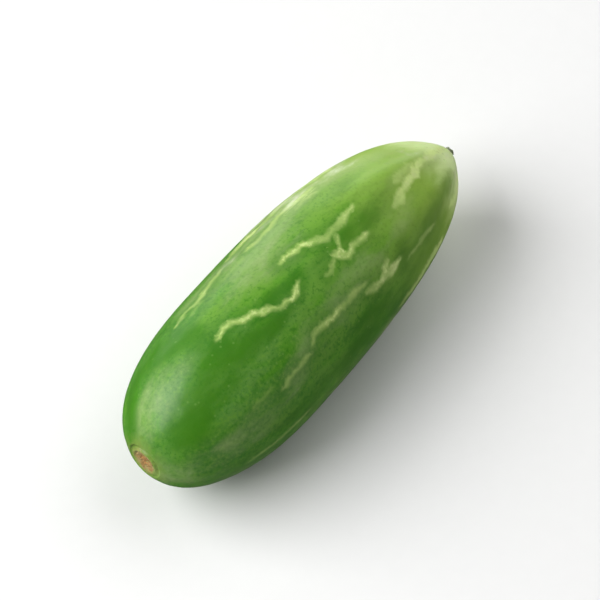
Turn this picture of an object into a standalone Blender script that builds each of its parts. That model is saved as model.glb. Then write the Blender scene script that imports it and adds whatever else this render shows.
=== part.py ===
"""One picked ivy gourd lying on its side.

Metres, +Z up. +X runs from the stalk scar to the flower tip. The origin is under the middle of
the fruit, on the surface that it rests on. The fruit is a turned profile that then gets its
faint lobes, ribs and bow, is laid on its belly and is flattened where it rests.
"""

import math

import bmesh
import bpy
from mathutils import Matrix, Vector

# The body: a superellipse on each side of its widest ring.
WIDEST_RADIUS = 0.0103
STALK_HALF = 0.0212
TIP_HALF = 0.0375
STALK_LENGTH_POWER = 2.45
STALK_GIRTH_POWER = 2.10
TIP_LENGTH_POWER = 3.20
TIP_GIRTH_POWER = 1.48

# The round corky scar that the stalk leaves in the blunt end: a dish, a rim and a groove.
DISH_RADIUS = 0.00152
DISH_DEPTH = 0.00022
GROOVE_RADIUS = 0.00250
RIM_HEIGHT = 0.00019
DISH_RINGS = (0, 0.4, 0.75)

# The dry remnant of the flower on the pointed end: a short flared neck with a cupped mouth.
REMNANT_LENGTH = 0.00070
REMNANT_ROOT_RADIUS = 0.00078
REMNANT_NECK_RADIUS = 0.00050
REMNANT_MOUTH_RADIUS = 0.00062
CUP_RADIUS = 0.00050
CUP_DEPTH = 0.00022
FLARE_RINGS = (0.3, 0.65, 1)
CUP_RINGS = (1, 0.5, 0)

# What grew unevenly. Each swell is a share of the radius, and the lean a share of the offset.
CARPELS = 3
CARPEL_SWELL = 0.010
CARPEL_PHASE = math.radians(35)
CARPEL_TWIST = 0.5
RIBS = 8
RIB_SWELL = 0.0020
RIB_SWELL_AT_TIP = 0.0320
RIB_SWELL_AT_STALK = 0.0080
RIB_PHASE = math.radians(-24)
RIB_WANDER = 0.20
RIB_WANDER_RATE = 5.1
RIB_WANDER_WAVES = 2
DENT_SWELL = 0.0055
BOW = 0.0003
SWAY = 0.0004
STALK_LEAN = 0.085

# Shallow dents: strength, radians over the fruit's length, whole waves around it, phase.
DENT_WAVES = (
    (0.5, 3.0, 5, 0.7),
    (0.5, 11.0, -1, 0.7),
    (0.6, 15.0, -1, 2.1),
)

# Shares of the length or of the widest radius over which each of these comes in.
TIP_RIBS_SPAN = (0.45, 0.97)
STALK_RIBS_SPAN = (0.02, 0.30)
LEAN_SPAN = (0.0, 0.25)
SWELL_SPAN = (0.14, 0.45)

# How it lies: its own weight tips it this far towards the flower tip.
REST_PITCH = math.radians(1.3)
FLAT_DEPTH = 0.00018

SEGMENTS = 56
STALK_RINGS = 15
TIP_RINGS = 21
RIM_STEPS = 8

SKIN_GREEN = (0.060, 0.215, 0.022, 1.0)
SKIN_ROUGHNESS = 0.34
SHARP_ANGLE = math.radians(40)
WELD = 1e-6


def half_profile(reach, length_power, girth_power, end_radius, rings):
    """One half of the body from its ring of end_radius to just short of the widest ring.

    Each point is (station, radius), with both given by a turn that is 0 on the axis.
    """
    first = math.asin((end_radius / WIDEST_RADIUS) ** (girth_power / 2))
    points = []
    for ring in range(rings):
        turn = first + (math.pi / 2 - first) * ring / rings
        station = reach * math.cos(turn) ** (2 / length_power)
        radius = WIDEST_RADIUS * math.sin(turn) ** (2 / girth_power)
        points.append((station, radius))
    return points


def scar_profile(face):
    """A parabolic dish, then one wave of a sine: the rim out of the face, the groove into it."""
    points = [(face + DISH_DEPTH * (1 - share**2), DISH_RADIUS * share) for share in DISH_RINGS]
    for step in range(RIM_STEPS):
        share = step / RIM_STEPS
        radius = DISH_RADIUS + (GROOVE_RADIUS - DISH_RADIUS) * share
        points.append((face - RIM_HEIGHT * math.sin(math.tau * share), radius))
    return points


def remnant_profile(root):
    """The flare of the neck out to its mouth, then the parabolic cup back to the axis."""
    flare = REMNANT_MOUTH_RADIUS - REMNANT_NECK_RADIUS
    mouth = root + REMNANT_LENGTH
    points = [
        (root + REMNANT_LENGTH * share, REMNANT_NECK_RADIUS + flare * share**2)
        for share in FLARE_RINGS
    ]
    for share in CUP_RINGS:
        points.append((mouth - CUP_DEPTH * (1 - share**2), CUP_RADIUS * share))
    return points


def fruit_profile():
    """Every (station, radius) from the scar's middle to the remnant's, in order along +X."""
    stalk = half_profile(
        STALK_HALF, STALK_LENGTH_POWER, STALK_GIRTH_POWER, GROOVE_RADIUS, STALK_RINGS
    )
    tip = half_profile(
        TIP_HALF, TIP_LENGTH_POWER, TIP_GIRTH_POWER, REMNANT_ROOT_RADIUS, TIP_RINGS
    )
    body = [(-station, radius) for station, radius in stalk]
    body.append((0.0, WIDEST_RADIUS))
    body.extend(reversed(tip))
    return scar_profile(body[0][0]) + body + remnant_profile(body[-1][0])


def smooth_step(span, value):
    """0 below the span, 1 above it and a smooth rise inside it."""
    low, high = span
    share = min(1.0, max(0.0, (value - low) / (high - low)))
    return share * share * (3 - 2 * share)


def swell(along, around, radius):
    """Share of the radius that lobes, ribs and dents add, none at the scar and the remnant."""
    rib_height = RIB_SWELL
    rib_height += RIB_SWELL_AT_TIP * smooth_step(TIP_RIBS_SPAN, along)
    rib_height += RIB_SWELL_AT_STALK * (1 - smooth_step(STALK_RIBS_SPAN, along))
    wander = RIB_WANDER * math.sin(RIB_WANDER_RATE * along + RIB_WANDER_WAVES * around)
    ribs = rib_height * math.cos(RIBS * around + RIB_PHASE + wander)
    carpels = CARPEL_SWELL * math.cos(CARPELS * around + CARPEL_PHASE + CARPEL_TWIST * along)
    dents = DENT_SWELL * sum(
        strength * math.sin(rate * along + waves * around + phase)
        for strength, rate, waves, phase in DENT_WAVES
    )
    return smooth_step(SWELL_SPAN, radius / WIDEST_RADIUS) * (ribs + carpels + dents)


def bend(along):
    """Sideways shift of the fruit's axis: a slight bow with a slight sway on it."""
    inside = min(1.0, max(0.0, along))
    return BOW * math.sin(math.pi * inside) - SWAY * math.sin(math.tau * inside)


def lean(along, side):
    """Lengthwise shift that sets the stalk's end slightly askew."""
    return STALK_LEAN * side * (1 - smooth_step(LEAN_SPAN, along))


def grown(point):
    """A point of the turned body, moved to where the grown fruit has it."""
    along = (point.x + STALK_HALF) / (STALK_HALF + TIP_HALF)
    radius = math.hypot(point.y, point.z)
    around = math.atan2(point.z, point.y)
    scale = 1 + swell(along, around, radius)
    return Vector((
        point.x + lean(along, point.y),
        point.y * scale + bend(along),
        point.z * scale,
    ))


def turned_fruit():
    """The profile spun round the axis, then grown."""
    mesh = bmesh.new()
    points = [mesh.verts.new((station, 0.0, radius)) for station, radius in fruit_profile()]
    for first, second in zip(points, points[1:]):
        mesh.edges.new((first, second))
    bmesh.ops.spin(
        mesh,
        geom=mesh.verts[:] + mesh.edges[:],
        cent=(0, 0, 0),
        axis=(1, 0, 0),
        angle=math.tau,
        steps=SEGMENTS,
        use_duplicate=False,
    )
    bmesh.ops.remove_doubles(mesh, verts=mesh.verts[:], dist=WELD)
    for vertex in mesh.verts:
        vertex.co = grown(vertex.co)
    return mesh


def lay_down(mesh):
    """Tips the fruit as its weight does, centres it and sinks its belly just under z = 0."""
    pitch = Matrix.Rotation(REST_PITCH, 4, "Y")
    bmesh.ops.transform(mesh, matrix=pitch, verts=mesh.verts[:])
    low = [min(vertex.co[axis] for vertex in mesh.verts) for axis in range(3)]
    high = [max(vertex.co[axis] for vertex in mesh.verts) for axis in range(3)]
    shift = (-(low[0] + high[0]) / 2, -(low[1] + high[1]) / 2, -low[2] - FLAT_DEPTH)
    bmesh.ops.translate(mesh, vec=shift, verts=mesh.verts[:])


def flatten_belly(mesh):
    """Cuts off what is under z = 0 and closes the cut with one flat face."""
    bmesh.ops.bisect_plane(
        mesh,
        geom=mesh.verts[:] + mesh.edges[:] + mesh.faces[:],
        dist=WELD,
        plane_co=(0, 0, 0),
        plane_no=(0, 0, -1),
        clear_outer=True,
    )
    rim = [edge for edge in mesh.edges if len(edge.link_faces) == 1]
    bmesh.ops.edgeloop_fill(mesh, edges=rim)
    bmesh.ops.recalc_face_normals(mesh, faces=mesh.faces[:])


def skin_material():
    """Waxy mid-green fruit skin."""
    material = bpy.data.materials.new("fruit_skin")
    material.use_nodes = True
    shader = material.node_tree.nodes["Principled BSDF"]
    shader.inputs["Base Color"].default_value = SKIN_GREEN
    shader.inputs["Roughness"].default_value = SKIN_ROUGHNESS
    shader.inputs["Metallic"].default_value = 0.0
    return material


def add_gourd():
    """The whole fruit as one object."""
    mesh = turned_fruit()
    lay_down(mesh)
    flatten_belly(mesh)
    data = bpy.data.meshes.new("gourd")
    mesh.to_mesh(data)
    mesh.free()
    data.shade_smooth()
    data.set_sharp_from_angle(angle=SHARP_ANGLE)
    data.materials.append(skin_material())
    bpy.context.scene.collection.objects.link(bpy.data.objects.new("gourd", data))


for old in list(bpy.data.objects):
    bpy.data.objects.remove(old)
add_gourd()
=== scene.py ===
import math

import bpy
import numpy as np
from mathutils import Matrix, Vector


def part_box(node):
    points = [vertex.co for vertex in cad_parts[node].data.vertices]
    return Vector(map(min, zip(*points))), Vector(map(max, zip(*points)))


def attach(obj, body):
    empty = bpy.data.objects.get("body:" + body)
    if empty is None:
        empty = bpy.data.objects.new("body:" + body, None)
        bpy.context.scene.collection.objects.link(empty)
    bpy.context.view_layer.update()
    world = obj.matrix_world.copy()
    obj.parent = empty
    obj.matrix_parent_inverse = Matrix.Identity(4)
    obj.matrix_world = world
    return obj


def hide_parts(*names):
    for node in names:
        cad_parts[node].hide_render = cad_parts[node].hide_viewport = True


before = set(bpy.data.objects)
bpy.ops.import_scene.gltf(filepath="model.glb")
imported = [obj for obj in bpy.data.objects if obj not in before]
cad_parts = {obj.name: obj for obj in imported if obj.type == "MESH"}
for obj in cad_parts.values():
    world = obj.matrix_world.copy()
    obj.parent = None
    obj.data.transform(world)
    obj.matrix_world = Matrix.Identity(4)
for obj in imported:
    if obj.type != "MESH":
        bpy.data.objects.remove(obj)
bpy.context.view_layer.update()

# The fruit. A young ivy gourd is one fleshy berry with a thin waxy skin, widest near its stalk's
# end and drawn out to the end where the flower was. Eight faint ribs run down it and grow
# towards the tip, the scar of the stalk sits in a groove, and the belly is flat where it rests.

# Lengths are in metres. A swell is a share of the radius, and swells start and are full at two
# shares of the widest radius. A way along is a share of the fruit's length from the stalk's end.
WIDEST_RADIUS = 0.0103
STALK_HALF = 0.0212
TIP_HALF = 0.0375
STALK_POWERS = (2.45, 2.10)
TIP_POWERS = (3.20, 1.48)
DISH_RADIUS = 0.00152
DISH_DEPTH = 0.00022
GROOVE_RADIUS = 0.00250
RIM_HEIGHT = 0.00019
ROOT_RADIUS = 0.00078
ROOT_DOME = 0.00010
# Steps along the dish, the rim, the stalk's half, the tip's half and the dome.
PROFILE_STEPS = (80, 120, 700, 1400, 60)
CARPELS = 3
CARPEL_SWELL = 0.010
CARPEL_TURN = math.radians(35)
CARPEL_TWIST = 0.5
RIBS = 8
RIB_TURN = math.radians(24)
RIB_SWELL = 0.0020
RIB_SWELL_AT_TIP = 0.0320
RIB_SWELL_AT_STALK = 0.0080
RIB_GROWS = (0.45, 0.97)
RIB_SHRINKS = (0.02, 0.30)
RIB_WANDER = 0.20
RIB_WANDER_WAVES = (5.1, 2)
DENT_SWELL = 0.0055
# Each wave of the dents: its share, its waves along and round, its phase.
DENT_WAVES = ((0.5, 3, 5, 0.7), (0.5, 11, -1, 0.7), (0.6, 15, -1, 2.1))
SWELL_STARTS = (0.14, 0.45)
BOW = 0.0003
SWAY = 0.0004
STALK_LEAN = 0.085
LEAN_ENDS = 0.25
REST_PITCH = math.radians(1.3)
FLAT_DEPTH = 0.00018
# Each layer of ripples: its height, its wavelength, its seed.
SKIN_RIPPLES = ((0.000005, 0.0016, 3), (0.000012, 0.0060, 4))
SKIN_WAVES = 40
RIPPLES_START = (0.0020, 0.0050)
RIPPLES_START_AT_TIP = (0.0010, 0.0040)
# Each: height, number of folds, how far and how often they crowd, distance from the end, reach.
SCAR_PUCKER = (0.000020, 17, 1.1, 5, 0.0021, 0.0007)
TIP_PUCKER = (0.000040, 19, 0.9, 4, 0.0016, 0.0011)
# How far the rim slumps, as a share of its height: all round, and in cosines round it, each
# with its share, its count and its phase.
RIM_SLUMP = 0.35
RIM_SLUMP_WAVES = ((-0.45, 1, -math.radians(70)), (0.12, 3, 1.0), (0.10, 5, 2.2))
RIM_WALK = 0.005
SKIN_RINGS = 396
SKIN_COLUMNS = 240
END_CROWDING = 0.72


def smooth_step(low, high, value):
    """0 below low, 1 above high, and 3x² - 2x³ between, x being the share of the way."""
    share = np.clip((value - low) / (high - low), 0, 1)
    return share * share * (3 - 2 * share)


def superellipse(reach, powers, end_radius, steps):
    """x = reach cos(t)^(2/n) and r = R sin(t)^(2/m), n and m being the two powers.

    The turn t goes from that of the end's ring to 90 degrees.
    """
    first = math.asin((end_radius / WIDEST_RADIUS) ** (powers[1] / 2))
    turn = np.linspace(first, math.pi / 2, steps)
    station = reach * np.clip(np.cos(turn), 0, 1) ** (2 / powers[0])
    return station, WIDEST_RADIUS * np.sin(turn) ** (2 / powers[1])


def skin_profile(rings):
    """Station, radius and distance walked of the skin, from the scar's middle to the tip's.

    A parabolic dish, one wave of a sine for its rim and groove, the two superellipses, and a
    low parabolic dome. The rings are spread along this line, closest at its two ends.
    """
    dish_steps, rim_steps, stalk_steps, tip_steps, dome_steps = PROFILE_STEPS
    stalk_x, stalk_r = superellipse(STALK_HALF, STALK_POWERS, GROOVE_RADIUS, stalk_steps)
    tip_x, tip_r = superellipse(TIP_HALF, TIP_POWERS, ROOT_RADIUS, tip_steps)
    face, root = -stalk_x[0], tip_x[0]
    dish_r = np.linspace(0, DISH_RADIUS, dish_steps)[:-1]
    rim_r = np.linspace(DISH_RADIUS, GROOVE_RADIUS, rim_steps)[:-1]
    dome_r = np.linspace(ROOT_RADIUS, 0, dome_steps)[1:]
    wave = np.sin(math.tau * (rim_r - DISH_RADIUS) / (GROOVE_RADIUS - DISH_RADIUS))
    x = np.concatenate([
        face + DISH_DEPTH * (1 - (dish_r / DISH_RADIUS) ** 2),
        face - RIM_HEIGHT * wave,
        -stalk_x,
        tip_x[::-1],
        root + ROOT_DOME * (1 - (dome_r / ROOT_RADIUS) ** 2),
    ])
    r = np.concatenate([dish_r, rim_r, stalk_r, tip_r[::-1], dome_r])
    walked = np.concatenate([[0], np.cumsum(np.hypot(np.diff(x), np.diff(r)))])
    share = np.linspace(0, 1, rings)
    place = walked[-1] * (share - END_CROWDING * np.sin(math.tau * share) / math.tau)
    return np.interp(place, walked, x), np.interp(place, walked, r), place


def swell(along, around, radius):
    """Share of the radius that the carpels, the ribs and the shallow dents add.

    Cosines of 3 and 8 waves round the fruit, the ribs' being higher towards both ends, and
    three slanting sines. All of them fade out at the scar and at the tip.
    """
    rib = RIB_SWELL + RIB_SWELL_AT_TIP * smooth_step(*RIB_GROWS, along)
    rib = rib + RIB_SWELL_AT_STALK * (1 - smooth_step(*RIB_SHRINKS, along))
    wander = RIB_WANDER * np.sin(RIB_WANDER_WAVES[0] * along + RIB_WANDER_WAVES[1] * around)
    ribs = rib * np.cos(RIBS * around - RIB_TURN + wander)
    carpels = CARPEL_SWELL * np.cos(CARPELS * around + CARPEL_TURN + CARPEL_TWIST * along)
    dents = 0
    for share, along_waves, round_waves, phase in DENT_WAVES:
        dents = dents + share * np.sin(along_waves * along + round_waves * around + phase)
    started = smooth_step(*SWELL_STARTS, radius / WIDEST_RADIUS)
    return started * (ribs + carpels + DENT_SWELL * dents)


def ripples(points, wavelength, seed, waves=16):
    """Sine waves of one length in seeded random directions, added up to a spread of about 1."""
    draw = np.random.default_rng(seed)
    heading = draw.normal(size=(waves, 3))
    heading *= math.tau / wavelength / np.linalg.norm(heading, axis=1, keepdims=True)
    phase = draw.uniform(0, math.tau, waves)
    return np.sin(points @ heading.T + phase).sum(-1) / math.sqrt(waves / 2)


def bumpy(points, layers, waves=16):
    """Ripples of several wavelengths, each layer times its height, added up."""
    return sum(height * ripples(points, length, seed, waves) for height, length, seed in layers)


def wavy(turn, even, waves):
    """A number and cosines round the fruit added to it, each with its share, count and phase."""
    for share, count, phase in waves:
        even = even + share * np.cos(count * turn + phase)
    return even


def pucker(walked, height, folds, crowding, crowds, middle, reach):
    """Folds round an end: a cosine round the fruit with a swaying phase, in a bell along it."""
    wave = np.cos(folds * around + crowding * np.sin(crowds * around))
    return height * wave * np.exp(-(((walked - middle) / reach) ** 2))


def grown(station, radius, around, lift=0.0):
    """Points of the fruit as it lies, before it is centred. They are lift metres off its skin.

    The turned profile swells, bows sideways and leans at the stalk, then tips by its pitch.
    """
    along = (station + STALK_HALF) / (STALK_HALF + TIP_HALF)
    inside = np.clip(along, 0, 1)
    reach = radius * (1 + swell(along, around, radius)) + lift
    y = np.cos(around)
    bend = BOW * np.sin(math.pi * inside) - SWAY * np.sin(math.tau * inside)
    lean = STALK_LEAN * radius * y * (1 - smooth_step(0.0, LEAN_ENDS, along))
    x, y, z = station + lean, reach * y + bend, reach * np.sin(around)
    cosine, sine = math.cos(REST_PITCH), math.sin(REST_PITCH)
    return np.stack([x * cosine + z * sine, y, z * cosine - x * sine], axis=-1)


def closed_surface(name, rings, first_pole, last_pole):
    """An object from rings of points, an array (rings, columns, 3), closed by a pole at each end.

    Ring i, column j is point i * columns + j; each face joins two columns of two rings.
    """
    count, columns = rings.shape[:2]
    points = np.concatenate([rings.reshape(-1, 3), [first_pole, last_pole]])
    column = np.arange(columns)
    after = (column + 1) % columns
    start = np.arange(count - 1)[:, None] * columns
    ahead = start + columns
    quads = np.stack([start + column, start + after, ahead + after, ahead + column], -1)
    quads = quads.reshape(-1, 4)
    south, north = count * columns, count * columns + 1
    last = (count - 1) * columns
    caps = np.concatenate([
        np.stack([np.full(columns, south), after, column], -1),
        np.stack([np.full(columns, north), last + column, last + after], -1),
    ])
    corners = np.concatenate([quads.ravel(), caps.ravel()])
    sizes = np.concatenate([np.full(len(quads), 4), np.full(len(caps), 3)])
    mesh = bpy.data.meshes.new(name)
    mesh.vertices.add(len(points))
    mesh.vertices.foreach_set("co", points.astype(np.float32).ravel())
    mesh.loops.add(len(corners))
    mesh.loops.foreach_set("vertex_index", corners.astype(np.int32))
    mesh.polygons.add(len(sizes))
    mesh.polygons.foreach_set("loop_start", (np.cumsum(sizes) - sizes).astype(np.int32))
    mesh.polygons.foreach_set("use_smooth", np.ones(len(sizes), bool))
    mesh.update(calc_edges=True)
    mesh.validate()
    piece = bpy.data.objects.new(name, mesh)
    bpy.context.scene.collection.objects.link(piece)
    return piece


def store(piece, name, rings, first_pole, last_pole):
    """Keeps one number for each point of a closed surface, under a name that materials read."""
    values = np.concatenate([rings.ravel(), [first_pole, last_pole]]).astype(np.float32)
    piece.data.attributes.new(name, "FLOAT", "POINT").data.foreach_set("value", values)


profile_x, profile_r, profile_walk = skin_profile(SKIN_RINGS)
ring_x, ring_r, ring_walk = (line[1:-1, None] for line in (profile_x, profile_r, profile_walk))
around = np.linspace(0, math.tau, SKIN_COLUMNS, endpoint=False)[None, :]
from_tip = profile_walk[-1] - ring_walk
smooth_skin = grown(ring_x, ring_r, around)
lift = pucker(ring_walk, *SCAR_PUCKER) + pucker(from_tip, *TIP_PUCKER)
clear_of_ends = smooth_step(*RIPPLES_START, ring_walk)
clear_of_ends = clear_of_ends * smooth_step(*RIPPLES_START_AT_TIP, from_tip)
lift = lift + clear_of_ends * bumpy(smooth_skin, SKIN_RIPPLES, SKIN_WAVES)

# The rim isn't even: its wave is taken back by the share that it slumps at each turn.
rim_share = np.clip((ring_r - DISH_RADIUS) / (GROOVE_RADIUS - DISH_RADIUS), 0, 1)
rim_share = np.where(ring_walk < RIM_WALK, rim_share, 0)
slump = wavy(around, RIM_SLUMP, RIM_SLUMP_WAVES)
slumped_x = ring_x + RIM_HEIGHT * slump * np.sin(math.tau * rim_share)
skin_rings = grown(slumped_x, ring_r, around, lift)
solid_low, solid_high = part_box("gourd")
to_rest = np.array([
    solid_low.x - skin_rings[..., 0].min(),
    (solid_low.y + solid_high.y - skin_rings[..., 1].min() - skin_rings[..., 1].max()) / 2,
    solid_low.z - FLAT_DEPTH - skin_rings[..., 2].min(),
])
skin_rings = skin_rings + to_rest
skin_rings[..., 2] = np.maximum(skin_rings[..., 2], solid_low.z)
skin_poles = [grown(profile_x[end], 0.0, 0.0) + to_rest for end in (0, -1)]
skin = closed_surface("gourd_skin", skin_rings, *skin_poles)
store(skin, "from_scar", ring_walk + 0 * around, 0.0, profile_walk[-1])
store(skin, "from_tip", from_tip + 0 * around, profile_walk[-1], 0.0)
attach(skin, "root")
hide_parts("gourd")

# The streaks. Pale broken lines of thin-walled cells run down the fruit's eight ribs, with
# darker green beside them. Those of the pictured side are placed one by one, and the others
# follow their ribs by a rule. Each is a course round the fruit, a function of the way along it.

# Each: its course as (mm from the scar's face, degrees round), half width in mm, paleness. At
# any point a layer keeps only the streak whose course is nearest, so a streak that runs close
# beside one of the long layer is in the side layer, and one that crosses both is a spur.
LONG_STREAKS = (
    ([(12.8, 89), (13.9, 88), (15.4, 86), (16.4, 87), (17.5, 93), (19.4, 96), (20.8, 100),
      (21.7, 105), (24.1, 106), (25.1, 105), (27.2, 101)], 0.36, 1.0),
    ([(25.8, 84), (27.7, 84), (28.9, 86), (30.1, 87.5), (31.8, 92), (32.9, 95.5), (34.6, 96),
      (36.1, 96), (38.0, 94), (39.8, 93)], 0.44, 1.0),
    ([(28.6, 113), (29.8, 112), (31.0, 111), (32.2, 110)], 0.26, 0.75),
    ([(32.3, 116), (33.4, 115), (34.3, 114), (36.1, 114), (38.4, 115.5)], 0.34, 0.95),
    ([(21.0, 140), (22.0, 137), (22.6, 134), (24.2, 134), (26.3, 136), (30.1, 136),
      (32.1, 136.5), (33.8, 139)], 0.38, 1.0),
    ([(14.4, 146), (16.7, 144), (18.1, 142), (19.7, 142), (22.1, 142)], 0.34, 0.90),
    ([(10.4, 141), (12.8, 140), (15.2, 139)], 0.20, 0.35),
    ([(5, 152), (7.5, 156), (10, 155)], 0.18, 0.3),
    ([(7.5, 188), (12.2, 184), (14.7, 183), (19.5, 180)], 0.26, 0.6),
    ([(21, 190), (24, 195), (27, 192)], 0.24, 0.5),
    ([(42.0, 116), (43.6, 115), (44.6, 114), (45.5, 111), (47.4, 108), (49.4, 105), (51.6, 102),
      (53.1, 102), (54.7, 100), (57.4, 96), (58.8, 92)], 0.52, 1.0),
    ([(50.2, 166), (51.6, 168), (53.2, 171), (54.6, 171), (57.0, 168)], 0.36, 0.6),
    ([(39.4, 155), (42.2, 153), (44.1, 154), (46.0, 154.5), (48.1, 158)], 0.26, 0.5),
    ([(36, 184), (38, 182), (40, 182), (42, 183), (44, 181), (48.5, 179)], 0.38, 0.9),
    ([(12.3, 50), (15.5, 47.5), (17.4, 50.5), (19.7, 49), (22, 46), (24.4, 43)], 0.36, 0.95),
    ([(24.1, 41), (28.3, 38), (30.3, 40), (32.4, 42), (35.3, 38), (38, 39), (41.5, 45),
      (44.8, 45)], 0.60, 1.0),
    ([(47.5, 46), (49, 43), (51.5, 39.5), (54, 42), (57, 46)], 0.34, 0.9),
)
SIDE_STREAKS = (
    ([(31.4, 107), (32.1, 109.5), (32.8, 112), (33.5, 114.5), (34.0, 116)], 0.80, 1.0),
    ([(31.4, 144), (33.2, 146), (34.9, 147), (38.0, 148), (40.0, 146)], 0.60, 1.0),
    ([(45.0, 103), (46.8, 100), (48.6, 100), (50.6, 98)], 0.60, 0.45),
    ([(25.5, 51), (28, 55), (31, 54.5), (33, 51.5), (37.5, 55), (40, 56)], 0.34, 0.8),
    ([(20.5, 58), (23, 56), (26.5, 58.5)], 0.22, 0.45),
    ([(33.5, 61), (36.5, 60), (39.5, 62)], 0.22, 0.45),
    ([(14.2, 57), (16.5, 55.5), (18.6, 57)], 0.20, 0.4),
)
SPUR_STREAKS = (
    ([(32.4, 111), (33.2, 108), (33.9, 104.5), (34.8, 100)], 0.26, 0.85),
    ([(34.9, 147), (35.6, 143), (36.4, 140), (37.8, 139)], 0.46, 0.9),
    ([(27.5, 33), (31, 31), (35, 30), (38, 31), (41, 30), (44, 33), (47.5, 36)], 0.42, 1.0),
)

# The rule for the hidden ribs, in mm along, degrees round, mm of half width and paleness.
HIDDEN_RIBS = (3, 228, 273, 318)
HIDDEN_SEED = 8
FIRST_STARTS = (7, 12)
LAST_START = 54
LAST_STOP = 58.0
STREAK_LENGTHS = (5, 15)
STREAK_GAPS = (0.6, 5.0)
BEND_SPACINGS = (1.4, 2.2)
LEAST_BENDS = 3
RIB_SCATTER = 3.0
BEND_SCATTER = 3.2
HALF_WIDTHS = (0.2, 0.40)
PALENESSES = (0.4, 1.0)

# How a streak strays from its course, in metres. Each kink: its size and its length. Where no
# streak is near, the distance to one is put as a whole metre.
KINKS = ((0.00010, 0.0014), (0.00005, 0.0006))
BEAD_LENGTH = 0.0008
BEAD_WIDTHS = (0.50, 1.30)
BEAD_PALENESSES = (0.60, 1.0)
RUN_OUT = 0.0026
RUN_OUT_SHARE = 0.35
STREAK_REACH = 0.0010
STREAK_EDGE = 1.4
NONE_NEAR = 1.0
HALO_WIDTH = 0.0024
HALO_INSET = 0.0005
HALO_STEP = 0.0004
HALO_LEAST = 0.3
LEAST_STEP = 1e-9
LEAST_RADIUS = 0.0005

# The way along has to rise from ring to ring, so where the rim's wave turns back it rises by
# the least step only.
from_face = ring_x + STALK_HALF
from_face = from_face - from_face.min()
from_face = np.maximum.accumulate(from_face) + LEAST_STEP * np.arange(len(from_face))[:, None]
skin_radius = np.maximum(ring_r, LEAST_RADIUS)


def rule_streaks(seed):
    """Streaks on the hidden ribs: seeded lengths and gaps, and a seeded zigzag about each rib."""
    draw = np.random.default_rng(seed)
    found = []
    for rib in HIDDEN_RIBS:
        start = draw.uniform(*FIRST_STARTS)
        while start < LAST_START:
            stop = min(start + draw.uniform(*STREAK_LENGTHS), LAST_STOP)
            stops = np.arange(start, stop, draw.uniform(*BEND_SPACINGS))
            turns = rib + draw.normal(0, RIB_SCATTER) + draw.normal(0, BEND_SCATTER, len(stops))
            half_width, pale = draw.uniform(*HALF_WIDTHS), draw.uniform(*PALENESSES)
            if len(stops) >= LEAST_BENDS:
                found.append((list(zip(stops, turns)), half_width, pale))
            start = stops[-1] + draw.uniform(*STREAK_GAPS)
    return found


def halo_of(way, turn, pale):
    """Darkness beside one streak: by its paleness on its course, nothing a halo's width away.

    It falls evenly with the true distance from the nearest of the points along the course.
    """
    line = np.arange(way[0] + HALO_INSET, way[-1] - HALO_INSET, HALO_STEP)
    line_x = np.interp(line, from_face[:, 0], ring_x[:, 0])
    line_r = np.interp(line, from_face[:, 0], ring_r[:, 0])
    line = grown(line_x, line_r, np.radians(np.interp(line, way, turn))) + to_rest
    reach = np.abs(line - line.mean(0)).max() + HALO_WIDTH
    beside = np.abs(skin_rings - line.mean(0)).max(-1) < reach
    gaps = np.linalg.norm(skin_rings[beside][:, None] - line, axis=-1).min(1)
    dark = np.zeros(skin_rings.shape[:2])
    dark[beside] = np.maximum(1 - gaps / HALO_WIDTH, 0) * (HALO_LEAST + (1 - HALO_LEAST) * pale)
    return dark


def streak_fields(streaks, seed):
    """For each point of the skin: metres round from the nearest course, its half width, paleness.

    Seeded kinks push each course sideways. Its half width swells and thins in beads, runs out at
    both ends and is nothing beyond the streak's reach, and its paleness fades here and there. A
    fourth array is the darkest of the streaks' halos.
    """
    draw = np.random.default_rng(seed)
    shape = skin_rings.shape[:2]
    offset = np.full(shape, NONE_NEAR)
    width, paleness, halo = np.zeros(shape), np.zeros(shape), np.zeros(shape)
    for course, half_width, pale in streaks:
        way, turn = np.array(course, float).T
        way = way / 1000
        kinks = np.zeros_like(from_face)
        for size, length in KINKS:
            stops = np.arange(way[0], way[-1] + length, length)
            kinks = kinks + np.interp(from_face, stops, draw.normal(0, size, len(stops)))
        centre = np.radians(np.interp(from_face, way, turn)) + kinks / skin_radius
        lean = np.gradient(centre[:, 0], from_face[:, 0])[:, None] * skin_radius
        here = (around - centre + math.pi) % math.tau - math.pi
        here = here * skin_radius / np.sqrt(1 + lean**2)
        stops = np.arange(way[0], way[-1] + BEAD_LENGTH, BEAD_LENGTH)
        beads = np.interp(from_face, stops, draw.uniform(*BEAD_WIDTHS, len(stops)))
        stops = stops[::2]
        fading = np.interp(from_face, stops, draw.uniform(*BEAD_PALENESSES, len(stops)))
        run_out = min(RUN_OUT, RUN_OUT_SHARE * (way[-1] - way[0]))
        taper = smooth_step(way[0], way[0] + run_out, from_face)
        taper = taper * (1 - smooth_step(way[-1] - run_out, way[-1], from_face))
        far = smooth_step(STREAK_REACH, STREAK_EDGE * STREAK_REACH, np.abs(here))
        near = taper * (1 - far)
        closer = (near > 0) & (np.abs(here) < np.abs(offset))
        offset = np.where(closer, here, offset)
        width = np.where(closer, half_width / 1000 * beads * near, width)
        paleness = np.where(closer, pale * fading, paleness)
        halo = np.maximum(halo, halo_of(way, turn, pale))
    return offset, width, paleness, halo


darker = np.zeros(skin_rings.shape[:2])
layers = {
    "long": list(LONG_STREAKS) + rule_streaks(HIDDEN_SEED),
    "side": SIDE_STREAKS,
    "spur": SPUR_STREAKS,
}
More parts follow.
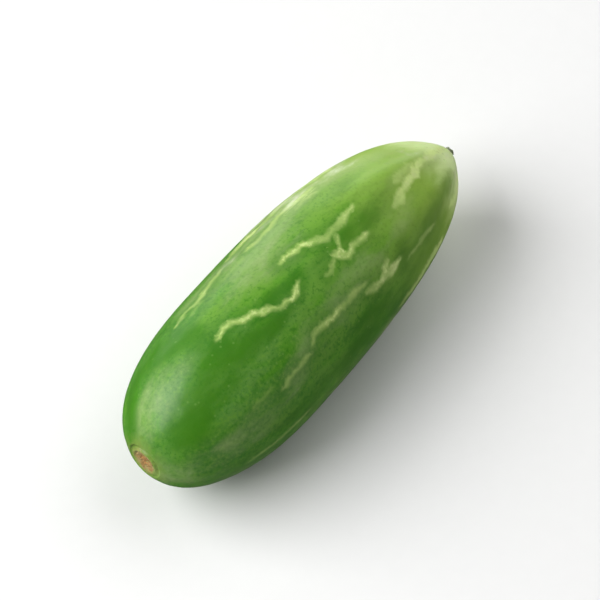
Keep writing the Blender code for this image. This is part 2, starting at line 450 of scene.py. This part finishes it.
# Each layer's draws are seeded by how many streaks it has.
for layer, streaks in layers.items():
    offset, width, paleness, halo = streak_fields(streaks, len(streaks))
    store(skin, layer + "_offset", offset, 0.0, 0.0)
    store(skin, layer + "_width", width, 0.0, 0.0)
    store(skin, layer + "_paleness", paleness, 0.0, 0.0)
    darker = np.maximum(darker, halo)
store(skin, "halo", darker, 0.0, 0.0)

# The cloudy patches. Where the skin's cells hold more air and wax it is paler and duller, and
# where they hold less it is deep, vivid green. Many pale patches are painted light instead: a
# painted haze highlight at the stalk's end, painted sheen on the upper left side and the flank,
# and a painted whitish reflection along the upper left rim. Some deep patches are painted shade,
# at the left edge near the scar and along the lower right flank. Those of the pictured side are
# placed one by one.

# Each: mm from the scar's face, degrees round, reach in mm along and round, strength.
PALE_AND_SHEEN_PATCHES = (
    (3.8, 74, 3.6, 2.6, 0.50),
    (8.0, 80, 3.2, 1.8, 0.25),
    (2.0, 58, 2.5, 1.5, 0.45),
    (1.2, 182, 3.0, 2.4, 0.55),
    (5.5, 62, 3.0, 1.8, 0.20),
    (17.0, 42, 4.0, 1.6, 0.60),
    (17.6, 82, 2.6, 1.4, 0.20),
    (22.0, 105, 2.0, 0.9, 0.35),
    (21.5, 74, 3.5, 2.4, 0.40),
    (27.0, 78, 4.5, 2.6, 0.50),
    (31.5, 68, 4.5, 2.8, 0.20),
    (21.5, 133, 3.0, 1.6, 0.65),
    (28.5, 134, 4.0, 2.2, 0.50),
    (32.0, 130, 3.0, 2.0, 0.35),
    (36.2, 136, 3.0, 1.6, 0.45),
    (18.0, 145, 3.5, 1.8, 0.55),
    (7.2, 160, 4.0, 2.0, 0.45),
    (36.0, 32, 7.0, 2.2, 1.00),
    (43.0, 37, 5.0, 2.0, 1.00),
    (43.9, 117, 2.4, 1.4, 0.45),
    (23.0, 46, 4.0, 1.7, 0.75),
    (29.8, 59, 3.5, 1.6, 0.50),
    (25.5, 61, 3.6, 2.0, 0.45),
    (30.5, 45, 6.0, 1.6, 0.60),
    (36.0, 49, 6.0, 2.2, 1.00),
    (41.5, 51, 5.0, 1.8, 0.80),
    (46.0, 58, 4.0, 1.8, 0.70),
    (33.5, 124, 3.0, 1.8, 0.35),
    (28.5, 140, 3.5, 1.4, 0.40),
    (12.0, 150, 7.0, 2.8, 0.35),
    (42.2, 127, 3.0, 1.8, 0.50),
    (46.8, 103, 2.6, 1.4, 0.60),
    (51.3, 103, 3.2, 2.0, 0.65),
    (55.0, 108, 2.4, 1.6, 0.60),
    (51.4, 76, 4.0, 2.4, 0.60),
    (56.0, 120, 2.2, 1.8, 0.80),
    (55.5, 155, 2.6, 0.9, 0.85),
)
# Some deep patches are the skin's own deep green; those at the left edge near the scar and along
# the lower right flank are painted shade.
DEEP_AND_SHADE_PATCHES = (
    (12.0, 98, 4.5, 2.6, 0.85),
    (10.2, 118, 3.0, 1.6, 0.50),
    (6.5, 98, 2.6, 1.4, 0.35),
    (16.0, 109, 3.0, 1.6, 0.60),
    (20.0, 110, 3.2, 1.5, 0.90),
    (22.0, 95, 2.2, 1.2, 0.70),
    (12.3, 72, 2.4, 1.5, 0.70),
    (4.5, 121, 3.8, 2.6, 0.85),
    (11.0, 60, 2.8, 1.5, 1.00),
    (8.5, 49, 3.0, 1.4, 0.90),
    (5.0, 37, 4.0, 1.8, 1.00),
    (1.5, 42, 2.2, 1.8, 0.80),
    (26.0, 98, 2.2, 1.0, 0.55),
    (31.0, 101, 3.0, 0.8, 0.50),
    (35.2, 106, 1.6, 1.1, 0.85),
    (38.7, 107, 2.6, 1.6, 0.75),
    (42.5, 100, 3.0, 1.4, 0.30),
    (41.0, 75, 3.0, 1.8, 0.45),
    (31.5, 158, 3.4, 1.6, 0.85),
    (17.0, 172, 6.0, 2.0, 0.60),
    (30.0, 172, 9.0, 2.0, 0.80),
    (43.0, 172, 6.0, 2.0, 0.85),
    (40.0, 141, 2.0, 1.2, 0.70),
    (46.5, 145, 3.5, 1.6, 0.75),
    (52.3, 142, 2.4, 1.6, 1.00),
    (39.7, 151, 3.0, 1.6, 0.80),
    (47.5, 151, 3.0, 1.5, 0.80),
    (46.5, 166, 4.0, 1.6, 0.70),
)

# The rule for the hidden sides, in the same measures.
HIDDEN_PATCHES = 14
PALE_SEED = 31
DEEP_SEED = 32
HIDDEN_WAYS = (4, 50)
HIDDEN_TURNS = (190, 385)
HIDDEN_REACHES = (2.0, 5.5)
HIDDEN_NARROWNESS = 0.5
HIDDEN_STRENGTHS = (0.35, 0.85)


def rule_patches(count, seed):
    """Patches of the hidden sides: seeded places, reaches and strengths."""
    draw = np.random.default_rng(seed)
    ways = draw.uniform(*HIDDEN_WAYS, count)
    turns = draw.uniform(*HIDDEN_TURNS, count)
    reaches = draw.uniform(*HIDDEN_REACHES, count)
    strengths = draw.uniform(*HIDDEN_STRENGTHS, count)
    return list(zip(ways, turns, reaches, reaches * HIDDEN_NARROWNESS, strengths))


def patch_field(patches):
    """How far patches cover each point, from 0 to 1: one less the product of what each leaves.

    A patch is a bell in the way along and the way round from its middle.
    """
    bare = np.ones(skin_rings.shape[:2])
    for way, turn, reach_along, reach_round, strength in patches:
        beyond = (from_face * 1000 - way) / reach_along
        beside = (around - math.radians(turn) + math.pi) % math.tau - math.pi
        beside = beside * skin_radius * 1000 / reach_round
        bare = bare * (1 - strength * np.exp(-(beyond**2) - beside**2))
    return 1 - bare


pale_and_sheen_patches = list(PALE_AND_SHEEN_PATCHES) + rule_patches(HIDDEN_PATCHES, PALE_SEED)
deep_and_shade_patches = list(DEEP_AND_SHADE_PATCHES) + rule_patches(HIDDEN_PATCHES, DEEP_SEED)
store(skin, "pale_and_sheen_patch", patch_field(pale_and_sheen_patches), 0.0, 0.0)
store(skin, "deep_and_shade_patch", patch_field(deep_and_shade_patches), 0.0, 0.0)

# The skin's finish. Waxy and satin, deep green at the stalk's end and paler, yellower green at
# the tip, where the paleness is partly painted light, mottled along the fruit, with painted
# sheen, highlight and shade among its patches, and with pale pores. Cream beads stand in the
# streaks, and the swollen rim of the scar is yellow, cream and rust, its yellow partly painted
# light in the groove.


class Shade:
    """A shader value. Sums of it, and of numbers, add their own Math nodes."""

    def __init__(self, shader, socket):
        self.shader = shader
        self.socket = socket

    def maths(self, operation, first, second):
        return self.shader.node("ShaderNodeMath", {"operation": operation}, {0: first, 1: second})

    def __add__(self, other):
        return self.maths("ADD", self, other)

    def __radd__(self, other):
        return self.maths("ADD", other, self)

    def __sub__(self, other):
        return self.maths("SUBTRACT", self, other)

    def __rsub__(self, other):
        return self.maths("SUBTRACT", other, self)

    def __mul__(self, other):
        return self.maths("MULTIPLY", self, other)

    def __rmul__(self, other):
        return self.maths("MULTIPLY", other, self)

    def __abs__(self):
        return self.maths("ABSOLUTE", self, 0.0)


class Shader:
    """A new Principled material, and one method that adds any node to it."""

    def __init__(self, name):
        self.material = bpy.data.materials.new(name)
        self.material.use_nodes = True
        self.tree = self.material.node_tree
        self.surface = self.tree.nodes["Principled BSDF"]

    def node(self, kind, settings=None, inputs=None, output=0):
        """Adds a node: its settings first, then the numbers or links of its sockets."""
        made = self.tree.nodes.new(kind)
        for name, value in (settings or {}).items():
            setattr(made, name, value)
        self.fill(made, inputs or {})
        return Shade(self, made.outputs[output])

    def fill(self, made, inputs):
        """Sets or links sockets of a node, each named by its place or its name."""
        for name, value in inputs.items():
            if isinstance(value, Shade):
                self.tree.links.new(value.socket, made.inputs[name])
            else:
                made.inputs[name].default_value = value

    def stored(self, name):
        """A number that the mesh holds at each point."""
        return self.node("ShaderNodeAttribute", {"attribute_name": name}, output="Fac")

    def coordinates(self, stretch=(1, 1, 1)):
        """Object coordinates, scaled along each axis."""
        place = self.node("ShaderNodeTexCoord", output="Object")
        return self.node("ShaderNodeMapping", None, {"Vector": place, "Scale": stretch})

    def noise(self, place, size, detail=2.0, roughness=0.5, distortion=0.0):
        """Smooth noise from 0 to 1 whose features are about size metres wide."""
        values = {
            "Vector": place,
            "Scale": 1 / size,
            "Detail": detail,
            "Roughness": roughness,
            "Distortion": distortion,
        }
        return self.node("ShaderNodeTexNoise", None, values)

    def ramp(self, value, low, high, most=1.0):
        """A smooth rise from 0 to most while the value goes from low to high."""
        limits = {"Value": value, "From Min": low, "From Max": high, "To Max": most}
        return self.node("ShaderNodeMapRange", {"interpolation_type": "SMOOTHSTEP"}, limits)

    def mix(self, share, first, second):
        """One colour turning into the other as the share goes from 0 to 1."""
        colours = {0: share, 6: first, 7: second}
        return self.node("ShaderNodeMix", {"data_type": "RGBA"}, colours, output=2)

    def bump(self, height, distance, strength=1.0):
        """A normal tilted by a height map whose full range is distance metres."""
        values = {"Height": height, "Distance": distance, "Strength": strength}
        return self.node("ShaderNodeBump", None, values)


# A line rises by the metres inside its edge and by those of its half width. Its flecks rise by
# the half width too, and by the blotting less so much for each metre from the course.
LINE_EDGE = (-0.00040, 0.00034)
LINE_WIDTH = (0.0, 0.00012)
FLECK_BLOT = (0.34, 0.60)
FLECK_FALL = 420
FLECK_WIDTH = (0.00004, 0.00018)
FLECK_SHARE = 0.5


def pale_line(shader, layer, wiggle, blot):
    """Paleness of one layer of streaks: soft blotted edges, with spurs and flecks beside them."""
    gap = abs(shader.stored(layer + "_offset") + wiggle)
    width = shader.stored(layer + "_width")
    reach = width * (0.65 + 0.7 * blot)
    line = shader.ramp(reach - gap, *LINE_EDGE) * shader.ramp(width, *LINE_WIDTH)
    flecks = shader.ramp(blot - gap * FLECK_FALL, *FLECK_BLOT)
    flecks = flecks * shader.ramp(width, *FLECK_WIDTH, FLECK_SHARE)
    return (1 - (1 - line) * (1 - flecks)) * shader.stored(layer + "_paleness")


DEEP_GREEN = (0.024, 0.140, 0.006, 1)
MID_GREEN = (0.060, 0.215, 0.017, 1)
LUSH_AND_SHADE_GREEN = (0.038, 0.165, 0.004, 1)
VIVID_GREEN = (0.070, 0.255, 0.008, 1)
DULL_GREEN = (0.100, 0.232, 0.052, 1)
BLOOM_AND_SHEEN_GREEN = (0.270, 0.380, 0.138, 1)
WAX_AND_RIM_SHEEN_PALE = (0.680, 0.720, 0.540, 1)
FRESH_GREEN = (0.124, 0.292, 0.030, 1)
TIP_GREEN = (0.305, 0.465, 0.070, 1)
TIP_PALE_AND_LIGHT = (0.740, 0.890, 0.420, 1)
STREAK_PALE = (0.370, 0.520, 0.140, 1)
STREAK_CREAM = (0.560, 0.690, 0.260, 1)
STREAK_AT_TIP = (0.740, 0.900, 0.330, 1)
PORE_PALE = (0.170, 0.330, 0.070, 1)
RIM_YELLOW_AND_GROOVE_LIGHT = (0.180, 0.260, 0.045, 1)
RIM_CREAM = (0.290, 0.275, 0.095, 1)
RIM_RUST = (0.340, 0.180, 0.055, 1)
# Each zone: metres from the scar's or the tip's middle where it starts and where it is full.
LIGHTER_ZONE = (0.006, 0.038)
TIP_ZONE = (0.032, 0.005)
TIP_PALE_AND_LIGHT_ZONE = (0.0125, 0.0030)
RIM_YELLOW_AND_GROOVE_LIGHT_ZONE = (0.0046, 0.0022)
RIM_CREAM_ZONE = (0.0025, 0.0016)
RIM_RUST_ZONE = (0.0024, 0.0015)
PORE_SPACING = 0.0012
PORE_EDGE = (0.17, 0.07)
WIGGLE = 0.0006
SKIN_ROUGHNESS = 0.35
SKIN_BUMP = 0.00006
SKIN_BUMP_STRENGTH = 0.38
SKIN_GLOSS = {
    "Subsurface Weight": 0.15,
    "Subsurface Radius": (0.35, 1.0, 0.20),
    "Subsurface Scale": 0.0012,
    "Specular IOR Level": 0.33,
    "IOR": 1.43,
}

skin_shader = Shader("waxy_fruit_skin")
place = skin_shader.coordinates()
lengthwise = skin_shader.coordinates((0.35, 1, 1))
fibres = skin_shader.coordinates((0.12, 1, 1))
from_scar = skin_shader.stored("from_scar")
to_tip = skin_shader.stored("from_tip")
halo = skin_shader.stored("halo")

clouds = skin_shader.noise(lengthwise, size=0.0062, detail=3.0, roughness=0.55)
mottle = skin_shader.noise(lengthwise, size=0.0015, detail=3.0, roughness=0.60, distortion=0.4)
fibre = skin_shader.noise(fibres, size=0.0007, roughness=0.55)
grain = skin_shader.noise(place, size=0.00045, roughness=0.6)
patch = skin_shader.noise(skin_shader.coordinates((0.55, 1, 1)), size=0.0034, distortion=0.3)
bloom = skin_shader.noise(lengthwise, size=0.0100)
tipward = skin_shader.ramp(to_tip + (clouds - 0.5) * 0.018, *TIP_ZONE)
light = skin_shader.ramp(clouds + skin_shader.ramp(from_scar, *LIGHTER_ZONE, 0.30), 0.48, 0.80)
green = skin_shader.mix(light, MID_GREEN, FRESH_GREEN)
# The skin's mottling. Each: its noise, where the colour starts and is full, its most, its colour.
mottling = (
    (bloom, 0.46, 0.62, 0.55, DULL_GREEN),
    (patch, 0.52, 0.64, 0.65, VIVID_GREEN),
    (mottle, 0.42, 0.68, 0.42, DEEP_GREEN),
    (mottle, 0.44, 0.26, 0.35, FRESH_GREEN),
    (fibre, 0.50, 0.78, 0.25, FRESH_GREEN),
    (grain, 0.50, 0.68, 0.58, FRESH_GREEN),
    (grain, 0.48, 0.32, 0.52, DEEP_GREEN),
)
for noise, start, full, most, colour in mottling:
    green = skin_shader.mix(skin_shader.ramp(noise, start, full, most), green, colour)

# The cloudy patches with their painted highlight, sheen and shade, the darker green beside the
# streaks and the paler tip, partly painted light, over the mottling.
uneven = (clouds - 0.5) * 0.8 + (mottle - 0.5) * 0.7
# Painted highlight and sheen: the pale patches paint the haze at the stalk's end and the sheen of
# the lit upper left side and flank, speckled by the grain and mottle.
bloom_and_sheen = skin_shader.ramp(skin_shader.stored("pale_and_sheen_patch") + uneven, 0.10, 0.95)
green = skin_shader.mix(bloom_and_sheen * (0.25 + 0.7 * grain + 0.5 * mottle), green, BLOOM_AND_SHEEN_GREEN)
# Painted shade in part: the deep patches darken the left edge near the scar and the lower right
# flank.
deepened_and_shaded = skin_shader.ramp(skin_shader.stored("deep_and_shade_patch") + uneven, 0.15, 0.90)
green = skin_shader.mix(deepened_and_shaded * (0.60 + 0.5 * grain), green, LUSH_AND_SHADE_GREEN)
dark = skin_shader.ramp(halo + (clouds - 0.5) * 1.1 - tipward * 0.6, 0.15, 0.85)
green = skin_shader.mix(dark * 0.40, green, DEEP_GREEN)
green = skin_shader.mix(tipward * (0.85 - 0.25 * deepened_and_shaded), green, TIP_GREEN)
# Painted light in part: the pale tip is the fruit's own paler colour made brighter as if lit.
tip_edge = to_tip + (mottle - 0.5) * 0.004 + (clouds - 0.5) * 0.005
near_tip = skin_shader.ramp(tip_edge, *TIP_PALE_AND_LIGHT_ZONE, 0.94)
green = skin_shader.mix(near_tip * (1 - 0.75 * deepened_and_shaded), green, TIP_PALE_AND_LIGHT)
cells = {"Vector": place, "Scale": 1 / PORE_SPACING, "Randomness": 1.0}
pore = skin_shader.node("ShaderNodeTexVoronoi", None, cells)
green = skin_shader.mix(skin_shader.ramp(pore, *PORE_EDGE, 0.32), green, PORE_PALE)

# The three layers of streaks, their cream beads, and a whitish wax on the palest patches that is
# mostly painted reflection along the upper left rim.
wiggle = (skin_shader.noise(place, size=0.0009) - 0.5) * WIGGLE
blot = skin_shader.noise(place, size=0.00060, roughness=0.6)
long_lines = pale_line(skin_shader, "long", wiggle, blot)
side_lines = pale_line(skin_shader, "side", wiggle, blot)
spur_lines = pale_line(skin_shader, "spur", wiggle, blot)
pale = 1 - (1 - long_lines) * (1 - side_lines) * (1 - spur_lines)
streak_colour = skin_shader.mix(tipward, STREAK_PALE, STREAK_AT_TIP)
green = skin_shader.mix(pale * (0.45 + 0.45 * grain + 0.50 * mottle), green, streak_colour)
beads = skin_shader.ramp(pale * (0.35 + blot + 0.3 * grain), 0.72, 1.15)
green = skin_shader.mix(beads * 0.75, green, STREAK_CREAM)
# Painted reflection: the whitish wax paints the sheen of the light along the upper left rim.
wax_and_rim_sheen = skin_shader.ramp(skin_shader.stored("pale_and_sheen_patch") + uneven, 0.75, 1.20)
green = skin_shader.mix(wax_and_rim_sheen * (0.35 + 0.8 * grain), green, WAX_AND_RIM_SHEEN_PALE)

# The rim of the scar, whose three colours end unevenly. Its yellow is partly the scar's own
# colour and partly painted light that lifts the shade of the groove round the rim.
rim_edge = from_scar + (mottle - 0.5) * 0.0024 + (patch - 0.5) * 0.0026 + (grain - 0.5) * 0.0008
green = skin_shader.mix(skin_shader.ramp(rim_edge, *RIM_YELLOW_AND_GROOVE_LIGHT_ZONE, 0.75), green, RIM_YELLOW_AND_GROOVE_LIGHT)
green = skin_shader.mix(skin_shader.ramp(rim_edge, *RIM_CREAM_ZONE, 0.80), green, RIM_CREAM)
rust = skin_shader.ramp(rim_edge, *RIM_RUST_ZONE) * skin_shader.ramp(grain, 0.50, 0.64)
green = skin_shader.mix(rust * 0.80, green, RIM_RUST)
skin_height = mottle * 0.5 + grain * 0.3 + pale * 0.2
skin_shader.fill(skin_shader.surface, SKIN_GLOSS)
skin_shader.fill(skin_shader.surface, {
    "Base Color": green,
    "Roughness": SKIN_ROUGHNESS + (mottle - 0.5) * 0.16 + (grain - 0.5) * 0.08,
    "Normal": skin_shader.bump(skin_height, SKIN_BUMP, SKIN_BUMP_STRENGTH),
})
skin.data.materials.append(skin_shader.material)

# The stalk's scar. Where the stalk broke off, the fruit has sealed the wound with a disc of tan
# cork, cracked and uneven, rusty at its heart. It has grown fast in the dish of the swollen rim.

CORK_RADIUS = 0.00162
CORK_RINGS = 60
CORK_COLUMNS = 120
CORK_PROUD = 0.00007
# Each wave of its outline: share of the radius, count round, phase.
CORK_OUTLINE = ((0.05, 5, 0.6), (0.03, 9, 0.0))
# Each layer of its bumps: height, wavelength, seed.
CORK_BUMPS = ((0.000035, 0.0008, 21), (0.000018, 0.0003, 22))
CRACK_LENGTH = 0.0014
CRACK_SEED = 23
CRACK_WIDTH = 0.14
CRACK_DEPTH = 0.00005
EDGE_DROP = 0.00022
EDGE_START = 0.82
BACK_DEPTH = 2.2 * DISH_DEPTH

cork_share = np.linspace(0, 1, CORK_RINGS)[1:, None]
cork_turn = np.linspace(0, math.tau, CORK_COLUMNS, endpoint=False)[None, :]
cork_r = cork_share * (CORK_RADIUS * wavy(cork_turn, 1, CORK_OUTLINE))
flat_place = np.stack([cork_r * np.cos(cork_turn), cork_r * np.sin(cork_turn), 0 * cork_r], -1)
# A crack runs wherever one set of ripples crosses nought.
crack = np.exp(-((ripples(flat_place, CRACK_LENGTH, CRACK_SEED) / CRACK_WIDTH) ** 2))
edge_drop = EDGE_DROP * smooth_step(EDGE_START, 1.0, cork_share)
face_x = -superellipse(STALK_HALF, STALK_POWERS, GROOVE_RADIUS, 2)[0][0]
cork_x = face_x + DISH_DEPTH * (1 - np.minimum(cork_r / DISH_RADIUS, 1) ** 2)
cork_x = cork_x - CORK_PROUD - bumpy(flat_place, CORK_BUMPS) + CRACK_DEPTH * crack + edge_drop
cork_rings = grown(cork_x, cork_r, cork_turn) + to_rest
cork_back = grown(face_x + BACK_DEPTH, 0.0, 0.0) + to_rest
cork_pole = grown(face_x + DISH_DEPTH - CORK_PROUD, 0.0, 0.0) + to_rest
scar = closed_surface("stalk_scar", cork_rings, cork_pole, cork_back)
store(scar, "crack", crack, 0.0, 0.0)
store(scar, "from_middle", cork_share + 0 * cork_turn, 0.0, 1.0)
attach(scar, "root")

CORK_TAN = (0.265, 0.165, 0.046, 1)
CORK_CREAM = (0.340, 0.255, 0.095, 1)
CORK_BROWN = (0.180, 0.085, 0.022, 1)
CORK_RUST = (0.310, 0.140, 0.030, 1)
CORK_ROUGHNESS = 0.72
CORK_BUMP = 0.00006
CORK_BUMP_STRENGTH = 0.8

cork_shader = Shader("stalk_scar_cork")
cork_place = cork_shader.coordinates()
cork_patch = cork_shader.noise(cork_place, size=0.0009, detail=3.0, roughness=0.6)
cork_grain = cork_shader.noise(cork_place, size=0.00022, detail=3.0, roughness=0.7)
from_middle = cork_shader.stored("from_middle")
creamy = cork_shader.ramp(cork_patch + cork_shader.ramp(from_middle, 0.4, 1.0, 0.16), 0.52, 0.70)
cork = cork_shader.mix(creamy, CORK_TAN, CORK_CREAM)
cork = cork_shader.mix(cork_shader.ramp(cork_grain, 0.50, 0.68) * 0.6, cork, CORK_BROWN)
heart = cork_shader.ramp(from_middle + (cork_patch - 0.5) * 0.8, 0.75, 0.25, 0.65)
cork = cork_shader.mix(heart, cork, CORK_RUST)
cork = cork_shader.mix(cork_shader.stored("crack") * 0.6, cork, CORK_BROWN)
cork = cork_shader.mix(cork_shader.ramp(from_middle, 0.84, 0.98, 0.3), cork, CORK_BROWN)
cork_shader.fill(cork_shader.surface, {
    "Base Color": cork,
    "Roughness": CORK_ROUGHNESS + (cork_grain - 0.5) * 0.2,
    "Normal": cork_shader.bump(cork_grain, CORK_BUMP, CORK_BUMP_STRENGTH),
})
scar.data.materials.append(cork_shader.material)

# The flower's remnant. The flower withers on the tip and leaves a short dry neck that flares to
# a ragged five-lobed cup, greyish and brittle. Its foot is still grown into the tip.

REMNANT_LENGTH = 0.00048
NECK_RADIUS = 0.00050
MOUTH_RADIUS = 0.00062
CUP_RADIUS = 0.00050
CUP_DEPTH = 0.00022
NECK_SUNK = 0.35
NECK_STEPS = 34
CUP_STEPS = 22
REMNANT_COLUMNS = 90
FOOT_WIDTH = 0.00022
FOOT_REACH = 0.16
MOUTH_STARTS = (0.45, 0.2)
LOBES = 5
LOBE_PHASE = 0.8
# Each wave: its share of the radius, or its metres along for the edge, its count round, its phase.
FLUTES = ((0.05, 11, 0.0),)
RAGGED_SIDES = ((0.04, LOBES, LOBE_PHASE), (0.03, 13, 0.0))
NOTCH_DEPTH = 0.00004
RAGGED_EDGE = ((0.00003, 17, 2),)

root_x = superellipse(TIP_HALF, TIP_POWERS, ROOT_RADIUS, 2)[0][0]
neck_share = np.linspace(-NECK_SUNK, 1, NECK_STEPS)
wall_x = root_x + REMNANT_LENGTH * neck_share
wall_r = NECK_RADIUS + (MOUTH_RADIUS - NECK_RADIUS) * np.clip(neck_share, 0, 1) ** 2
wall_r = wall_r + FOOT_WIDTH * np.exp(-((np.maximum(neck_share, 0) / FOOT_REACH) ** 2))
cup_share = np.linspace(1, 0, CUP_STEPS)[:-1]
cup_x = root_x + REMNANT_LENGTH - CUP_DEPTH * (1 - cup_share**2)
remnant_x = np.concatenate([wall_x, cup_x])[:, None]
remnant_r = np.concatenate([wall_r, CUP_RADIUS * cup_share])[:, None]
# How near each ring is to the mouth's edge, from 0 to 1, up the wall and down into the cup.
mouth = [smooth_step(MOUTH_STARTS[0], 1, neck_share), smooth_step(MOUTH_STARTS[1], 1, cup_share)]
mouth = np.concatenate(mouth)[:, None]
remnant_turn = np.linspace(0, math.tau, REMNANT_COLUMNS, endpoint=False)[None, :]
lobes = np.cos(LOBES * remnant_turn + LOBE_PHASE)
ragged = mouth * wavy(remnant_turn, 0, RAGGED_SIDES)
remnant_r = remnant_r * (wavy(remnant_turn, 1, FLUTES) + ragged)
remnant_x = remnant_x + mouth * NOTCH_DEPTH * (lobes - 1)
remnant_x = remnant_x + mouth * wavy(remnant_turn, 0, RAGGED_EDGE)
remnant_rings = grown(remnant_x, remnant_r, remnant_turn) + to_rest
remnant_base = grown(wall_x[0], 0.0, 0.0) + to_rest
remnant_pole = grown(root_x + REMNANT_LENGTH - CUP_DEPTH, 0.0, 0.0) + to_rest
remnant = closed_surface("flower_remnant", remnant_rings, remnant_base, remnant_pole)
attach(remnant, "root")

DRY_BROWN = (0.150, 0.185, 0.105, 1)
DRY_TAN = (0.300, 0.350, 0.190, 1)
DRY_ROUGHNESS = 0.75
DRY_BUMP = 0.00005
DRY_BUMP_STRENGTH = 0.8

remnant_shader = Shader("dry_flower_remnant")
remnant_place = remnant_shader.coordinates((0.4, 1, 1))
dry_fibre = remnant_shader.noise(remnant_place, size=0.00012, detail=3.0, roughness=0.7)
dry = remnant_shader.mix(remnant_shader.ramp(dry_fibre, 0.45, 0.72), DRY_BROWN, DRY_TAN)
remnant_shader.fill(remnant_shader.surface, {
    "Base Color": dry,
    "Roughness": DRY_ROUGHNESS + (dry_fibre - 0.5) * 0.2,
    "Normal": remnant_shader.bump(dry_fibre, DRY_BUMP, DRY_BUMP_STRENGTH),
})
remnant.data.materials.append(remnant_shader.material)

# The table top. A plain sheet of matt pale paper, whose edge stays out of the camera's view. It
# is kept out of reflections, so that its white doesn't grey the fruit's shaded flank.

FLOOR_HALF = 1.6
PAPER_GREY = (0.77, 0.77, 0.765, 1)
PAPER_WHITE = (0.79, 0.79, 0.785, 1)
PAPER_ROUGHNESS = 0.9

floor_mesh = bpy.data.meshes.new("pale_floor")
floor_sides = [(-1, -1), (1, -1), (1, 1), (-1, 1)]
floor_corners = [(FLOOR_HALF * x, FLOOR_HALF * y, 0) for x, y in floor_sides]
floor_mesh.from_pydata(floor_corners, [], [(0, 1, 2, 3)])
floor = bpy.data.objects.new("pale_floor", floor_mesh)
bpy.context.scene.collection.objects.link(floor)
floor_shader = Shader("pale_floor")
paper = floor_shader.noise(floor_shader.coordinates(), size=0.002, detail=3.0)
floor_shader.fill(floor_shader.surface, {
    "Base Color": floor_shader.mix(paper, PAPER_GREY, PAPER_WHITE),
    "Roughness": PAPER_ROUGHNESS,
})
floor.data.materials.append(floor_shader.material)
floor.visible_glossy = False

# The light and the camera. A big soft light stands high on the pictured left, a long low one
# behind the fruit, and a fill high on the right that is kept out of reflections, in a pale room.
# The camera looks down on the fruit as the photograph's does.

VIEW_AZIMUTH = math.radians(-51.0)
VIEW_ELEVATION = math.radians(57)
VIEW_DISTANCE = 0.50
SENSOR_WIDTH = 36.0
FRAME_PIXELS = 600
PIXELS_PER_METRE = 8300
ROOM_WHITE = (1.0, 1.0, 1.0, 1)
ROOM_STRENGTH = 0.08
# Each light: the way to it from the fruit, its distance, width and height in metres, its watts.
WINDOW_LIGHT = ((-0.56, 0.50, 0.66), 0.60, 0.64, 0.46, 6.0)
BACK_SWEEP = ((0.62, 0.78, 0.15), 0.75, 1.10, 0.22, 2.0)
ROOM_FILL = ((0.60, -0.20, 0.78), 0.80, 1.00, 0.80, 3.5)

middle = (solid_low + solid_high) / 2
back = Vector((
    math.sin(VIEW_AZIMUTH) * math.cos(VIEW_ELEVATION),
    -math.cos(VIEW_AZIMUTH) * math.cos(VIEW_ELEVATION),
    math.sin(VIEW_ELEVATION),
))
lens_data = bpy.data.cameras.new("photograph_view")
lens_data.sensor_width = SENSOR_WIDTH
lens_data.lens = PIXELS_PER_METRE * SENSOR_WIDTH * VIEW_DISTANCE / FRAME_PIXELS
camera = bpy.data.objects.new("photograph_view", lens_data)
camera.location = middle + back * VIEW_DISTANCE
camera.rotation_euler = (-back).to_track_quat("-Z", "Y").to_euler()
bpy.context.scene.collection.objects.link(camera)
bpy.context.scene.camera = camera


def soft_light(name, direction, distance, width, height, watts):
    """A rectangular area light that stands off along a direction and faces the fruit."""
    data = bpy.data.lights.new(name, "AREA")
    data.shape = "RECTANGLE"
    data.size = width
    data.size_y = height
    data.energy = watts
    lamp = bpy.data.objects.new(name, data)
    lamp.location = middle + Vector(direction).normalized() * distance
    lamp.rotation_euler = (middle - lamp.location).to_track_quat("-Z", "Y").to_euler()
    bpy.context.scene.collection.objects.link(lamp)
    return lamp


soft_light("window_light", *WINDOW_LIGHT)
soft_light("back_sweep", *BACK_SWEEP)
room_fill = soft_light("room_fill", *ROOM_FILL)
room_fill.visible_glossy = False

room = bpy.data.worlds.new("pale_room")
room.use_nodes = True
room.node_tree.nodes["Background"].inputs["Color"].default_value = ROOM_WHITE
room.node_tree.nodes["Background"].inputs["Strength"].default_value = ROOM_STRENGTH
bpy.context.scene.world = room
bpy.context.scene.view_settings.view_transform = "Standard"
